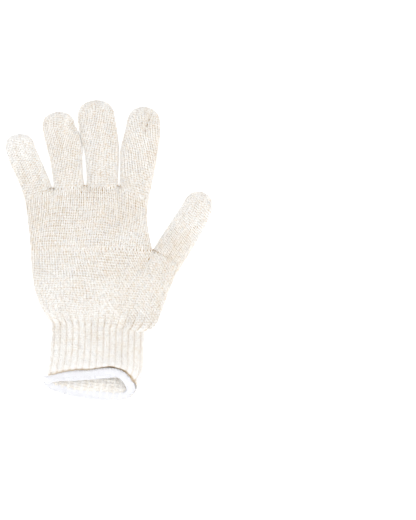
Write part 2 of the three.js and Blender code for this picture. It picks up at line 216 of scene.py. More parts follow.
def follow(line, places, wanted):
    """The line's columns at the wanted places."""
    return np.stack([np.interp(wanted, places, column) for column in line.T], axis=1)


def chord_row(left_x, left_y, right_x, right_y, bow, high):
    """One table row as a line of places across the tube, seen from above."""
    left = np.array([left_x, left_y])
    chord = (right_x, right_y) - left
    forward = forward_of(chord)[0]
    share = (side_line[:, None] + 1) / 2
    plan = left + chord * share + forward * bow * (1 - side_line[:, None] ** 2)
    return new_row(plan, high)


def corner_row(corners, high, first_bow=0.0):
    """A row that runs through several corners, and the sides where those corners lie."""
    corners = np.array(corners, float)
    place = running_length(corners)
    corner_sides = 2 * place / place[-1] - 1
    plan = follow(corners, corner_sides, side_line)
    inside = np.clip((side_line + 1) / (corner_sides[1] + 1) * 2 - 1, -1, 1)
    plan[:, 1] += first_bow * (1 - inside**2)
    return new_row(plan, high, 1.0), corner_sides


def oval(side, squareness):
    return np.maximum(1 - np.abs(side) ** squareness, 0) ** (1 / squareness)


def squareness_of(width):
    return FINGER_ROUND + ROUND_PER_WIDTH * np.maximum(width - FINGER_WIDTH, 0)


def lobed(side, corner_sides, width):
    """The crown of several tubes that lie side by side."""
    tube = np.clip(np.searchsorted(corner_sides, side) - 1, 0, len(corner_sides) - 2)
    low = corner_sides[tube]
    high = corner_sides[tube + 1]
    return oval(2 * (side - low) / (high - low) - 1, squareness_of(width * (high - low) / 2))


print("a finger's crown at a quarter of its width:", round(float(oval(0.5, FINGER_ROUND)), 2))

# %% Lasting dents
DENTS = (
    (33.4, 113.0, 28.4, 98.0, 2.3, 1.8),
    (-23.0, 50.5, 7.0, 50.0, 0.8, 2.4),
    (34.5, -2.0, 27.0, -15.0, 1.6, 4.0),
    (12.0, -30.0, 16.0, -56.0, 0.9, 5.0),
    (-16.0, -38.0, -20.0, -58.0, 0.7, 5.0),
)


def dent_depth(x, y):
    """How deep the upper layer is pressed. Each dent is a line, a depth and a half width."""
    depth = np.zeros_like(x)
    for from_x, from_y, to_x, to_y, deep, wide in DENTS:
        run = np.array([to_x - from_x, to_y - from_y])
        share = ((x - from_x) * run[0] + (y - from_y) * run[1]) / (run @ run)
        share = np.clip(share, 0, 1)
        away = np.hypot(x - from_x - share * run[0], y - from_y - share * run[1])
        depth += deep * np.exp(-((away / wide) ** 2))
    return depth


print("deepest dent:", max(deep for *_, deep, _ in DENTS), "mm")

# %% [markdown]
# A ring goes once round the tube: from the right edge over the top to the left edge, and back
# below. The places crowd towards the edges, because there the fabric turns over fastest. At
# the mouth of the cuff the two layers part. The upper one draws back by a share of the row's
# slant, which changes from side to side as the photograph's brown line does. The lower one
# reaches out by the slant, and by the lean further towards the right and less towards the left.

# %% Rings round a tube
EDGE_CROWD = 3
LEAST_INNER = 0.02
LIP_SIDES = (-1, -0.9, -0.6, -0.33, -0.1, 0.37, 0.7, 0.94, 1)
LIP_SHARES = (0.34, 0.44, 0.76, 0.95, 0.98, 1.42, 1.17, 0.3, 0.2)
edge_run = np.linspace(1, -1, HALF_RING + 1)
ring_side = np.sign(edge_run) * (1 - (1 - np.abs(edge_run)) ** EDGE_CROWD)


def ring_of(row, corner_sides=None):
    """All the places of one ring, upper half first, as an array of points."""
    plan = row["plan"]
    forward, width = forward_of(plan[-1] - plan[0])
    rise = oval(ring_side, squareness_of(width))
    if corner_sides is not None:
        rise = (1 - row["lobes"]) * rise + row["lobes"] * lobed(ring_side, corner_sides, width)
    inner = ring_side * max(1 - 2 * SKIN / width, LEAST_INNER)
    x = np.interp(inner, side_line, plan[:, 0])
    y = np.interp(inner, side_line, plan[:, 1])
    belly = BELLY * row["high"]
    top_z = belly + (row["high"] - belly - SKIN) * rise - dent_depth(x, y) * rise
    low_z = np.maximum(SKIN, belly - (belly + FLATTEN - SKIN) * rise)
    back = row["slant"] * np.interp(ring_side, LIP_SIDES, LIP_SHARES) * rise
    top = np.stack([x + forward[0] * back, y + forward[1] * back, top_z], axis=1)
    back = (row["slant"] + row["lean"] * ring_side) * rise
    low = np.stack([x - forward[0] * back, y - forward[1] * back, low_z], axis=1)
    return top, low[::-1]


def even(line, count, anchor=None):
    """A line of points with the same spacing everywhere, or on each side of an anchor.

    The anchor is a place on the line, counted in its points, and the share of the spaces
    that come before it. Columns after the third, such as a width, follow the points.
    """
    place = running_length(line[:, :3])
    wanted = np.arange(count) / count * place[-1]
    if anchor:
        at, share = anchor
        there = np.interp(at, np.arange(len(place)), place)
        wanted = np.interp(np.arange(count) / count, [0, share, 1], [0, there, place[-1]])
    return follow(line, place, wanted)


upper_half = ring_of(chord_row(*RING[2]))[0]
print("ring finger's section, mm high:", round(float(upper_half[:, 2].max()), 1))

# %% [markdown]
# ## A smooth surface under the knit
#
# Between the table's rows the tube follows a smooth curve. A fingertip is closed by rings that
# shrink like the end of an oval.

# %% Smooth rows and tips
TIP_STEPS = 40
TIP_BLUNT = 2.3
TIP_THIN = 0.45
TIP_END = 0.06
ROW_STEP = 0.7


def hermite(places, values, wanted):
    """A smooth curve through values at uneven places."""
    values = np.asarray(values, float)
    slopes = np.gradient(values, places, axis=0)
    at = np.clip(np.searchsorted(places, wanted, side="right") - 1, 0, len(places) - 2)
    gap = places[at + 1] - places[at]
    t = (wanted - places[at]) / gap
    shape = (-1,) + (1,) * (values.ndim - 1)
    t, gap = t.reshape(shape), gap.reshape(shape)
    start = (2 * t**3 - 3 * t**2 + 1) * values[at] + (t**3 - 2 * t**2 + t) * gap * slopes[at]
    return start + (3 * t**2 - 2 * t**3) * values[at + 1] + (t**3 - t**2) * gap * slopes[at + 1]


def dense_rows(rows):
    """Rows every fraction of a millimetre, smooth between those of the table."""
    middles = np.array([row["plan"].mean(axis=0) for row in rows])
    places = running_length(middles)
    wanted = np.linspace(0, places[-1], max(int(places[-1] / ROW_STEP), 2))
    plans = hermite(places, [row["plan"] for row in rows], wanted)
    keys = ("high", "slant", "lean", "lobes")
    others = {key: hermite(places, [row[key] for row in rows], wanted) for key in keys}
    return [
        {"plan": plan, **{key: float(others[key][k]) for key in keys}}
        for k, plan in enumerate(plans)
    ]


def tip_rows(last, length):
    """The rows of a round fingertip past its last section."""
    middle = last["plan"].mean(axis=0)
    forward = forward_of(last["plan"][-1] - last["plan"][0])[0]
    rows = []
    for cap in np.cos(np.linspace(0, np.pi / 2, TIP_STEPS)[1:-1]) ** (2 / TIP_BLUNT):
        if cap < TIP_END:
            break
        reach = (length - SKIN) * oval(cap, TIP_BLUNT)
        row = dict(last)
        row["plan"] = middle + (last["plan"] - middle) * cap + forward * reach
        row["high"] = last["high"] * (TIP_THIN + (1 - TIP_THIN) * cap)
        rows.append(row)
    return rows


print("rows between those of the ring finger:", len(dense_rows([chord_row(*row) for row in RING])))

# %% [markdown]
# The rings are then spaced so that one step of the surface is one course of the knit, and one
# step round it is one stitch column, about 2.8 mm wide.

# %% Surfaces in stitches
COURSE = 1.95
FINE = 4
TINY = 1e-9


class Surface:
    """A tube's skin: stitch columns round it and courses along it, both counted in stitches."""

    def __init__(self, rows, wales, corner_sides=None, tip=0.0, past=0, path=(0, 0)):
        """past: the columns between the right edge and one that runs straight along path."""
        rows = dense_rows(rows)
        if tip:
            rows += tip_rows(rows[-1], tip)
        self.wales = wales
        self.narrows = bool(tip)
        half = wales * FINE // 2
        right = left = None
        rings = []
        for row, x in zip(rows, np.linspace(*path, len(rows))):
            if past:
                side = np.interp(x, row["plan"][:, 0], side_line)
                at = np.interp(-side, -ring_side, np.arange(HALF_RING + 1))
                right = (at, 2 * past / wales)
                left = (HALF_RING - at, 1 - 2 * past / wales)
            top, low = ring_of(row, corner_sides)
            rings.append(np.concatenate([even(top, half, right), even(low, half, left)]))
        rings = np.array(rings)
        length = np.linalg.norm(np.diff(rings, axis=0), axis=2).mean(axis=1)
        place = np.concatenate([[0], np.cumsum(length)])
        self.courses = int(round(place[-1] / COURSE))
        wanted = np.linspace(0, place[-1], self.courses * FINE + 1)
        at = np.clip(np.searchsorted(place, wanted, side="right") - 1, 0, len(place) - 2)
        t = ((wanted - place[at]) / (place[at + 1] - place[at]))[:, None, None]
        self.points = rings[at] * (1 - t) + rings[at + 1] * t
        along = np.gradient(self.points, axis=0)
        around = np.roll(self.points, -1, axis=1) - np.roll(self.points, 1, axis=1)
        normal = np.cross(along, around)
        self.normals = normal / np.maximum(np.linalg.norm(normal, axis=2, keepdims=True), TINY)
        ring_length = np.linalg.norm(np.diff(self.points, axis=1, append=self.points[:, :1]), axis=2)
        self.girth = ring_length.sum(axis=1)[::FINE]

    def sample(self, share, course):
        """The points and normals at a share of the way round and a course along the tube.

        A course past either end lies on the straight run of the last step, so that the
        loops of two tubes that meet can reach into each other.
        """
        count = self.points.shape[1]
        a = (share % 1.0) * count
        b = course * FINE
        a_low = np.floor(a).astype(int) % count
        a_high = (a_low + 1) % count
        b_low = np.clip(np.floor(b).astype(int), 0, len(self.points) - 2)
        s = (a - np.floor(a))[:, None]
        t = (b - b_low)[:, None]
        found = []
        for grid in (self.points, self.normals):
            low = grid[b_low, a_low] * (1 - s) + grid[b_low, a_high] * s
            high = grid[b_low + 1, a_low] * (1 - s) + grid[b_low + 1, a_high] * s
            found.append(low * (1 - t) + high * t)
        return found[0], unit(found[1])


fingers = {}
for node, (table, wales, tip, _) in FINGERS.items():
    fingers[node] = tube = Surface([chord_row(*row) for row in table], wales, tip=tip)
    print(node, tube.courses, "courses, girth", round(float(tube.girth[5]), 1), "mm")

# %% [markdown]
# The palm is knitted in two stages. First the four fingers join in one wide tube, and its
# upper end still shows four crowns. Then the thumb joins at the side, and from there the
# columns of the thumb run down beside those of the palm. Both ends that meet other tubes are
# rows with corners at the crotches of the fingers.

# %% Surfaces of the palm and the cuff
FINGER_CORNERS = [(-70.0, 40.5), (-46.0, 49.2), (-19.4, 51.3), (7.9, 50.6), (33.0, 40.5)]
THUMB_CORNERS = [(-65.2, 0.0), (36.0, -0.8), (60.4, -13.8)]
FINGER_END_HIGH = 11.0
THUMB_END_HIGH = 12.2
THUMB_BOW = 2.0
THUMB_WALES = 24
THUMB_CROWN = 0.1
CROWN_FADE = (0.0, 0.0, 0.12, 0.55)
RIBS = 32
WALES_PER_RIB = 3

finger_row, finger_sides = corner_row(FINGER_CORNERS, FINGER_END_HIGH)
upper_rows = [chord_row(*row) for row in FOUR_FINGER_PALM]
for row, fade in zip(upper_rows, CROWN_FADE):
    row["lobes"] = fade
upper_wales = RIBS * WALES_PER_RIB - THUMB_WALES
upper_palm = Surface(upper_rows + [finger_row], upper_wales, corner_sides=finger_sides)

cuff_rows = [chord_row(*row) for row in CUFF]
for row, slant, lean in zip(cuff_rows, CUFF_SLANT, CUFF_LEAN):
    row["slant"] = slant
    row["lean"] = lean
cuff = Surface(cuff_rows[::-1], RIBS * WALES_PER_RIB)

thumb_row, thumb_sides = corner_row(THUMB_CORNERS, THUMB_END_HIGH, THUMB_BOW)
lower_rows = [chord_row(*row) for row in reversed(THUMB_PALM)]
lower_rows[-1]["lobes"] = THUMB_CROWN
past = THUMB_WALES // 2
path = (float(cuff.points[-1, past * FINE, 0]), THUMB_CORNERS[1][0])
lower_rows.append(thumb_row)
lower_palm = Surface(lower_rows, RIBS * WALES_PER_RIB, thumb_sides, past=past, path=path)
for name, tube in (("upper palm", upper_palm), ("lower palm", lower_palm), ("cuff", cuff)):
    print(name, tube.courses, "courses of", tube.wales, "stitches, girth", round(float(tube.girth[5])))

# %% [markdown]
# ## The path of a loop
#
# In plain knit the yarn swings up and down once for each stitch. At the top of the swing it
# makes the head of a loop and at the bottom the foot, both at the back of the fabric, and on
# the way it comes to the front as one leg of a V. A wave of twice the pitch, added sideways,
# makes the loop wider at its head than at its neck, as real loops are, with a small hole
# between the legs. Where the fabric is drawn in, its yarn is squeezed thinner, and at a
# fingertip the columns run together. On ribs, grooves are pressed into the surface before the
# loops are laid on it.

# %% Marks in the fabric
GROOVE_SHARPNESS = 5
WAVE = 0.35
WAVES_ROUND = 5
WAVE_LENGTH = 40
WAVE_FADE = 6

# Each hole's place and its radius: at the index fingertip, the thumb's and the middle finger's
# root, and the cuff
HOLES = (
    (33.0, 106.9, 0.8),
    (31.7, 103.0, 0.9),
    (27.4, 105.2, 0.8),
    (33.3, -4.4, 0.8),
    (33.0, -7.4, 0.8),
    (-22.6, 47.6, 0.7),
    (-15.1, 48.4, 0.6),
    (-5.2, 48.9, 0.6),
    (5.2, 47.6, 0.7),
    (-1.9, -73.0, 0.6),
    (-1.9, -76.0, 0.7),
    (-1.9, -79.0, 0.6),
)


def drawn(tube, share, course):
    """A slow wave in the courses, as in all soft cloth. It fades where the tube ends."""
    inside = np.clip(min(course, tube.courses - course) / WAVE_FADE, 0, 1)
    return WAVE * inside * np.sin(2 * np.pi * (WAVES_ROUND * share + course / WAVE_LENGTH))


def opened(places, normals):
    """Yarn drawn aside round the small holes that the photograph shows."""
    for x, y, radius in HOLES:
        away = places[:, :2] - (x, y)
        gap = np.linalg.norm(away, axis=1)
        near = (gap < 2 * radius) & (normals[:, 2] > 0)
        push = radius * (1 - gap[near] / (2 * radius))
        places[near, :2] += away[near] / gap[near, None] * push[:, None]
    return places


def rib_grooves(share):
    """1 in the grooves between the ribs, and close to 0 on the ribs."""
    return (0.5 + 0.5 * np.cos(2 * np.pi * share * RIBS)) ** GROOVE_SHARPNESS


print("small holes drawn open:", len(HOLES))

# %% One course of loops
LOOP_POINTS = 8
LOOP_HEIGHT = 2.2
NECK = 0.30
LOOP_DEPTH = 0.44
PRESSED = 0.5
JITTER = 0.05
YARN_RADIUS = 0.40
FREE_PITCH = 2.7
SQUEEZE = 0.7
CALM_DEPTH = 0.20
DENT_SHADE = 0.09
MOST_THICK = 1.2
SEED = 7
chance = np.random.default_rng(SEED)


def strand(places, outward, lift=1.0, thick=1.0, pale=0.0):
    """A row for each point: its place, the way out, its lift, its thickness and its paleness."""
    others = [np.broadcast_to(value, len(places)) for value in (lift, thick, pale)]
    return np.column_stack([places, outward, *others])


def course_strand(tube, course, stitches, groove=0.0, shape=None, calm=False, pale=0.0):
    """One course: a closed strand of loops that hang in the course before.

    The table presses the loops of the lower layer flatter than those of the upper one.
    Where the columns of two courses don't meet, a calm course keeps the backs of its loops
    near the face, so that no dark line shows.
    """
    turn = np.arange(stitches * LOOP_POINTS) / LOOP_POINTS * 2 * np.pi
    share = (turn / (2 * np.pi) + NECK * np.sin(2 * turn)) / stitches
    swing = -LOOP_HEIGHT / 2 * np.cos(turn)
    places, normals = tube.sample(share, course + swing + drawn(tube, share, course))
    lift = -LOOP_DEPTH * np.cos(2 * turn) * (1 - PRESSED * np.clip(-normals[:, 2], 0, 1))
    if calm:
        lift = np.maximum(lift, -CALM_DEPTH)
    if groove:
        lift = lift - groove * rib_grooves(share)
    places = places + normals * lift[:, None] + chance.normal(0, JITTER, places.shape)
    places = opened(places, normals)
    # The dents lower the lift only for the colour: painted shade in the dents.
    lift = lift - DENT_SHADE * dent_depth(places[:, 0], places[:, 1]) * (normals[:, 2] > 0)
    # A shape's second value lowers only the lift for the colour, and the paleness: painted shade.
    if shape:
        places, sunk = shape(places, normals, course + swing)
        lift = lift - sunk
        pale = pale * (1 - np.clip(sunk, 0, 1))
    pitch = float(tube.girth[min(int(course), tube.courses)]) / stitches
    return strand(places, normals, lift, min(MOST_THICK, (pitch / FREE_PITCH) ** SQUEEZE), pale)


print("points along each loop:", LOOP_POINTS)

# %% Courses of a tube
MERGE_FROM = 0.6
MERGE_FIRST = 0.42
MERGE_AGAIN = 0.16


def stitches_in(tube, course):
    """The columns of a finger run together at its tip, then two and two become one."""
    if not tube.narrows or course < tube.courses * MERGE_FROM:
        return tube.wales
    drawn_in = float(tube.girth[course]) / float(np.median(tube.girth))
    if drawn_in > MERGE_FIRST:
        return tube.wales
    return tube.wales // 2 if drawn_in > MERGE_AGAIN else tube.wales // 4


def knit(tube, first, last, groove_at=None, shape=None, start=0.5, end=-0.5, pale=(0, 0)):
    """The strands of several courses of a tube, evenly spaced.

    The numbers start and end move the first and the last course, so that the tubes meet
    closely. The two numbers of pale are those at the two ends of the whole tube.
    """
    strands = []
    places = np.linspace(first + start, last + end, last - first)
    for course, place in zip(range(first, last), places):
        groove = groove_at(tube, course) if groove_at else 0.0
        stitches = stitches_in(tube, course)
        at_end = course == 0 or (course == last - 1 and last >= tube.courses)
        calm = at_end or stitches != stitches_in(tube, course - 1)
        paleness = np.interp(course, (0, tube.courses), pale)
        strands.append(course_strand(tube, place, stitches, groove, shape, calm, paleness))
    return strands


longest = fingers["middle_finger"]
loops = sum(map(len, knit(longest, 0, longest.courses))) // LOOP_POINTS
print("loops in the longest finger:", loops)

# %% [markdown]
# ## Yarn from strands
#
# The strands are lines. Geometry Nodes turn each line into a round yarn: the lines become
# curves, and a small circle is swept along them. The circle hands its own direction to the
# mesh as the attribute round, and the line hands over how far along it lies, so that the
# material can wind the plies of the yarn round its middle. A third attribute, recess, says how
# deep in the fabric each side of the yarn lies: 0 where a leg of a loop stands proud, 1 at the
# bottom between the legs. On the cuff, which is also seen from inside, it counts from both
# faces. The line itself carries which way is out and how pale its yarn is.

# %% Geometry Nodes tree for yarn
YARN_INPUTS = {
    "Yarn Radius": "Float",
    "Loop Depth": "Float",
    "Seen Inside": "Bool",
    "Sides": "Int",
    "Finish": "Material",
}


def add_node(tree, kind, inputs=(), **settings):
    """A new node with its settings. Its inputs, by name or number, are linked or set."""
    node = tree.nodes.new(kind)
    for name, value in settings.items():
        setattr(node, name, value)
    for key, value in dict(inputs).items():
        if isinstance(value, bpy.types.NodeSocket):
            tree.links.new(value, node.inputs[key])
        else:
            node.inputs[key].default_value = value
    return node


def math_node(tree, operation, *values):
    return add_node(tree, "ShaderNodeMath", enumerate(values), operation=operation).outputs[0]


def yarn_tree():
    """The tree, and the keys by which a modifier sets its inputs."""
    tree = bpy.data.node_groups.new("yarn along strands", "GeometryNodeTree")

    def socket(label, kind, way="INPUT"):
        return tree.interface.new_socket(label, in_out=way, socket_type="NodeSocket" + kind)

    def step(kind, inputs=(), **settings):
        return add_node(tree, "GeometryNode" + kind, inputs, **settings).outputs[0]

    def given_by_line(name, kind="FLOAT"):
        return step("InputNamedAttribute", {"Name": name}, data_type=kind)

    def kept(geometry, name, value, kind="FLOAT"):
        inputs = {"Geometry": geometry, "Name": name, "Value": value}
        return step("StoreNamedAttribute", inputs, data_type=kind)

    socket("Geometry", "Geometry")
    keys = [socket(label, kind).identifier for label, kind in YARN_INPUTS.items()]
    socket("Geometry", "Geometry", "OUTPUT")
    given = tree.nodes.new("NodeGroupInput").outputs
    made = tree.nodes.new("NodeGroupOutput")
    radius = given["Yarn Radius"]

    lines = step("MeshToCurve", {"Mesh": given["Geometry"]})
    circle = step("CurvePrimitiveCircle", {"Resolution": given["Sides"], "Radius": 1.0})
    circle = kept(circle, "round", step("InputPosition"), "FLOAT_VECTOR")
    scale = math_node(tree, "MULTIPLY", given_by_line("thick"), radius)
    sweep = {"Curve": lines, "Profile Curve": circle, "Scale": scale, "Fill Caps": True}
    yarn = step("CurveToMesh", sweep)

    ways = (step("InputNormal"), given_by_line("outward", "FLOAT_VECTOR"))
    facing = add_node(tree, "ShaderNodeVectorMath", enumerate(ways), operation="DOT_PRODUCT")
    outer = facing.outputs["Value"]
    flank = math_node(tree, "ABSOLUTE", outer)
    lift = given_by_line("lift")
    one_face = math_node(tree, "ADD", lift, math_node(tree, "MULTIPLY", outer, radius))
    own = math_node(tree, "MULTIPLY", flank, radius)
    both_faces = math_node(tree, "MULTIPLY_ADD", outer, lift, own)
    choice = {"Switch": given["Seen Inside"], "False": one_face, "True": both_faces}
    height = step("Switch", choice, input_type="FLOAT")
    reach = math_node(tree, "ADD", given["Loop Depth"], radius)
    recess = math_node(tree, "DIVIDE", math_node(tree, "SUBTRACT", reach, height), reach)

    yarn = step("SetShadeSmooth", {"Geometry": kept(yarn, "recess", recess)})
    yarn = step("RealizeInstances", {"Geometry": yarn})
    yarn = step("SetMaterial", {"Geometry": yarn, "Material": given["Finish"]})
    tree.links.new(yarn, made.inputs["Geometry"])
    return tree, keys


YARN_TREE, YARN_KEYS = yarn_tree()
print("yarn tree nodes:", len(YARN_TREE.nodes))

# %% Strands to a plain mesh
SLUB = 0.06
LONGEST_START = 50


def flat(values):
    return np.ascontiguousarray(values, dtype=np.float32).ravel()


def attach(mesh, name, values):
    """Keep a number or a vector for each point of a mesh."""
    if values.ndim == 1:
        mesh.attributes.new(name, "FLOAT", "POINT").data.foreach_set("value", flat(values))
    else:
        mesh.attributes.new(name, "FLOAT_VECTOR", "POINT").data.foreach_set("vector", flat(values))


def line_mesh(name, strands, closed=True):
    """A mesh of edges along the strands, with their length and thickness as attributes."""
    points = np.concatenate(strands)
    edges = []
    along = []
    first = 0
    for line in strands:
        ids = np.arange(len(line)) + first
        pairs = np.stack([ids, np.roll(ids, -1)], axis=1)
        edges.append(pairs if closed else pairs[:-1])
        along.append(running_length(line[:, :3]) + chance.uniform(0, LONGEST_START))
        first += len(line)
    edges = np.concatenate(edges)
    slubs = chance.normal(0, 1, len(points))
    slubs = (slubs + np.roll(slubs, 1) + np.roll(slubs, -1)) / math.sqrt(3)
    mesh = bpy.data.meshes.new(name)
    mesh.vertices.add(len(points))
    mesh.vertices.foreach_set("co", flat(points[:, :3] * MM))
    mesh.edges.add(len(edges))
    mesh.edges.foreach_set("vertices", edges.astype(np.int32).ravel())
    attach(mesh, "along", np.concatenate(along))
    attach(mesh, "thick", points[:, 7] * (1 + SLUB * slubs))
    attach(mesh, "pale", points[:, 8])
    attach(mesh, "lift", points[:, 6] * MM)
    attach(mesh, "outward", points[:, 3:6])
    mesh.update()
    return mesh


def yarn_piece(
    name, strands, finish, radius=YARN_RADIUS, depth=LOOP_DEPTH, sides=4, closed=True, inside=True
):
    """A finished piece of yarn: strands, the tree above, and a plain mesh made from both.

    A circle with few sides is thinner than a round one, so it is drawn a little larger.
    The switch inside is for a piece that is also seen from its inner side.
    """
    fuller = math.sqrt(2 * math.pi / (sides * math.sin(2 * math.pi / sides)))
    helper = add_object(name + "_lines", line_mesh(name, strands, closed))
    modifier = helper.modifiers.new("yarn", "NODES")
    modifier.node_group = YARN_TREE
    values = (radius * fuller * MM, depth * MM, inside, sides, finish)
    for key, value in zip(YARN_KEYS, values):
        modifier[key] = value
    graph = bpy.context.evaluated_depsgraph_get()
    mesh = bpy.data.meshes.new_from_object(helper.evaluated_get(graph), depsgraph=graph)
    mesh.name = name
    bpy.data.objects.remove(helper)
    print(name, "triangles:", sum(len(p.vertices) - 2 for p in mesh.polygons))
    return add_object(name, mesh)


print("yarn:", 2 * YARN_RADIUS, "mm thick, varied by", SLUB, "of it")

# %% [markdown]
# ## The yarn's own look
#
# The yarn is undyed cotton with fibres of several tones: mostly cream, with short tan, rust
# and grey fibres in it, and it is twisted from two plies. Both belong to every knitted piece,
# so they are shared node groups. The first lays the flecks along the yarn and slow changes of
# tone in space, and paints a brown shade in the recesses, less of it on steep sides, where
# light comes in from beside. Pale yarn, as at the cuff, shows less of the flecks and of the
# painted shade. The second group winds the plies round the yarn with the attributes that the
# tree above handed over.

# %% Short names for nodes
FINE_DETAIL = 3
COARSE_DETAIL = 2
FUZZ_ROUGH = 0.7


def new_group(name, inputs, outputs):
    """A shader group with named sockets, and the nodes at its two ends."""
    group = bpy.data.node_groups.new(name, "ShaderNodeTree")
    for label, kind, value in inputs:
        socket = group.interface.new_socket(label, in_out="INPUT", socket_type=kind)
        socket.default_value = value
    for label, kind in outputs:
        group.interface.new_socket(label, in_out="OUTPUT", socket_type=kind)
    return group, group.nodes.new("NodeGroupInput"), group.nodes.new("NodeGroupOutput")


def object_place(tree):
    return tree.nodes.new("ShaderNodeTexCoord").outputs["Object"]


def attribute(tree, name, output="Fac"):
    return add_node(tree, "ShaderNodeAttribute", attribute_name=name).outputs[output]


def axes_of(tree, vector):
    return add_node(tree, "ShaderNodeSeparateXYZ", {"Vector": vector}).outputs


def noise(tree, scale, where, detail, roughness=0.5):
    inputs = {"Vector": where, "Scale": scale, "Detail": detail, "Roughness": roughness}
    return add_node(tree, "ShaderNodeTexNoise", inputs).outputs["Fac"]


def window(tree, value, low, high, top=1.0):
    """A mask that rises from 0 to its top while the value goes from low to high."""
    inputs = {"Value": value, "From Min": low, "From Max": high, "To Max": top}
    return add_node(tree, "ShaderNodeMapRange", inputs).outputs["Result"]


def mixed(tree, mask, under, over):
    """The colour over laid on the colour under where the mask is 1."""
    node = add_node(tree, "ShaderNodeMix", {"Factor": mask}, data_type="RGBA")
    sockets = [s for s in node.inputs if s.type == "RGBA"]
    for socket, value in zip(sockets, (under, over)):
        if isinstance(value, tuple):
            socket.default_value = (*value, 1.0)
        else:
            tree.links.new(value, socket)
    return next(s for s in node.outputs if s.type == "RGBA")


print("node groups so far:", len(bpy.data.node_groups))

# %% Mixed fibres and painted shade
TAN = (0.60, 0.41, 0.18)
RUST = (0.50, 0.25, 0.06)
SLATE = (0.34, 0.36, 0.40)
PALE = (0.97, 0.96, 0.95)
SHADE = (0.42, 0.25, 0.06)
PALE_YARN = (0.955, 0.95, 0.935)
CALMER = 0.55
EDGE_FROM = 0.05
EDGE_TO = 0.6
EDGE_LEAST = 0.25
RECESS_FROM = 0.55
RECESS_TO = 1.0
CLOUD_SIZE = 0.034
PATCH_SIZE = 0.0045
FIBRE_SHIFT = 300.0

# Where each mask begins, where it is full, and how much it then covers
CLOUDS = (0.38, 0.72, 0.13)
GREY_PATCHES = (0.52, 0.78, 0.18)
TAN_PATCHES = (0.48, 0.24, 0.20)

# The name of each sort of fibre, its length along the yarn in mm, its mask as above and its colour
FIBRES = (
    ("pale", 5.0, 0.55, 0.72, 0.30, PALE),
    ("tan", 4.0, 0.56, 0.74, 0.26, TAN),
    ("slate", 4.5, 0.60, 0.76, 0.24, SLATE),
    ("rust", 2.5, 0.70, 0.82, 0.34, RUST),
)


def flecks_and_shade_group():
    """Cream fibres with a few tan, rust and grey ones, slow changes of tone, and painted shade in the
    recesses.
    """
    group, given, made = new_group(
        "mixed fibres and painted shade",
        [
            ("Base", "NodeSocketColor", (0.9, 0.85, 0.76, 1)),
            ("Flecks", "NodeSocketFloat", 1.0),
            ("Shade", "NodeSocketFloat", 0.6),
        ],
        [("Color", "NodeSocketColor")],
    )

    pale = attribute(group, "pale")
    calmer = math_node(group, "SUBTRACT", 1.0, math_node(group, "MULTIPLY", pale, CALMER))
    flecks = math_node(group, "MULTIPLY", calmer, given.outputs["Flecks"])
    shade = math_node(group, "MULTIPLY", calmer, given.outputs["Shade"])

    def laid_on(colour, mask, tint, strength=flecks):
        return mixed(group, math_node(group, "MULTIPLY", mask, strength), colour, tint)

    where = object_place(group)
    colour = mixed(group, pale, given.outputs["Base"], PALE_YARN)
    clouds = noise(group, 1 / CLOUD_SIZE, where, FINE_DETAIL)
    colour = laid_on(colour, window(group, clouds, *CLOUDS), TAN)
    patches = noise(group, 1 / PATCH_SIZE, where, COARSE_DETAIL)
    colour = laid_on(colour, window(group, patches, *GREY_PATCHES), SLATE)
    colour = laid_on(colour, window(group, patches, *TAN_PATCHES), TAN)
    along = attribute(group, "along")
    for number, (name, length, low, high, top, tint) in enumerate(FIBRES):
        shifted = math_node(group, "ADD", along, FIBRE_SHIFT * number)
        inputs = {"W": shifted, "Scale": 1 / length, "Detail": 1}
        fibres = add_node(group, "ShaderNodeTexNoise", inputs, name=name, noise_dimensions="1D")
        colour = laid_on(colour, window(group, fibres.outputs["Fac"], low, high, top), tint)
    # Painted shade: the colour SHADE laid on the yarn's recesses, less of it on steep sides.
    recess = window(group, attribute(group, "recess"), RECESS_FROM, RECESS_TO)
    out_way = axes_of(group, attribute(group, "outward", "Vector"))
    flatness = math_node(group, "ABSOLUTE", out_way["Z"])
    hidden = math_node(group, "MAXIMUM", window(group, flatness, EDGE_FROM, EDGE_TO), EDGE_LEAST)
    recess = math_node(group, "MULTIPLY", recess, hidden)
    colour = laid_on(colour, recess, SHADE, shade)
    group.links.new(colour, made.inputs["Color"])
    return group


FLECKS_AND_SHADE = flecks_and_shade_group()
print("nodes of the mixed fibres and painted shade:", len(FLECKS_AND_SHADE.nodes))

# %% Twisted plies
FUZZ_SCALE = 3500
FUZZ_HEIGHT = 1.2


def ply_group():
    """The height of two plies that wind round the yarn, and of the fuzz on them."""
    group, given, made = new_group(
        "twisted plies",
        [("Pitch", "NodeSocketFloat", 3.0), ("Plies", "NodeSocketFloat", 2.0)],
        [("Height", "NodeSocketFloat")],
    )
    round_way = axes_of(group, attribute(group, "round", "Vector"))
    angle = math_node(group, "ARCTAN2", round_way["Y"], round_way["X"])
    turned = math_node(group, "MULTIPLY", angle, given.outputs["Plies"])
    wound = math_node(group, "DIVIDE", attribute(group, "along"), given.outputs["Pitch"])
    wound = math_node(group, "MULTIPLY", wound, 2 * math.pi)
    ridge = math_node(group, "COSINE", math_node(group, "ADD", turned, wound))
    fuzz = noise(group, FUZZ_SCALE, object_place(group), FINE_DETAIL, FUZZ_ROUGH)
    fuzz = math_node(group, "MULTIPLY", fuzz, FUZZ_HEIGHT)
    group.links.new(math_node(group, "ADD", ridge, fuzz), made.inputs["Height"])
    return group


PLIES = ply_group()
print("shared groups:", FLECKS_AND_SHADE.name, "and", PLIES.name)
